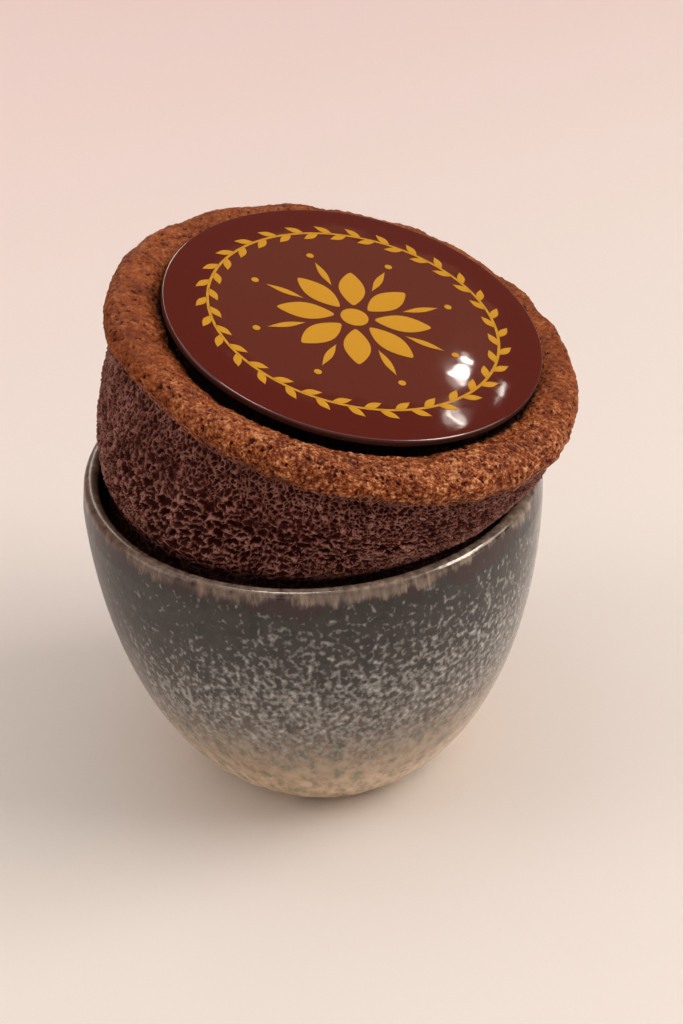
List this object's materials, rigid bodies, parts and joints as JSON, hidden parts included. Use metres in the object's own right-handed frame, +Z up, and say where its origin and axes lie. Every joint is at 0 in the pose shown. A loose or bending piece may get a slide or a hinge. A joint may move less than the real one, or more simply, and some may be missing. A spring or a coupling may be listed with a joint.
{
  "type": "chocolate souffle in a cup",
  "caption": "Chocolate souffle risen above the rim of a round stoneware cup, leaning to one side, with a thin printed chocolate disc laid on its top.",
  "frame": {"origin": "middle of the cup's flat foot, on the surface that it stands on", "axes": "+Z up along the cup's axis, -Y towards the viewer of the picture, +X to the right, where the souffle leans"},
  "size_m": [0.0931, 0.0882, 0.1024],
  "materials": {
    "stoneware": "speckled reactive glaze, dark grey above and sand below, glossy",
    "sponge": "baked open-celled sponge with a browned crust, matte",
    "chocolate": "tempered dark chocolate with a gold print, glossy"
  },
  "bodies": {
    "root": {"cup": "stoneware", "souffle": "sponge", "chocolate_disc": "chocolate"}
  },
  "joints": []
}
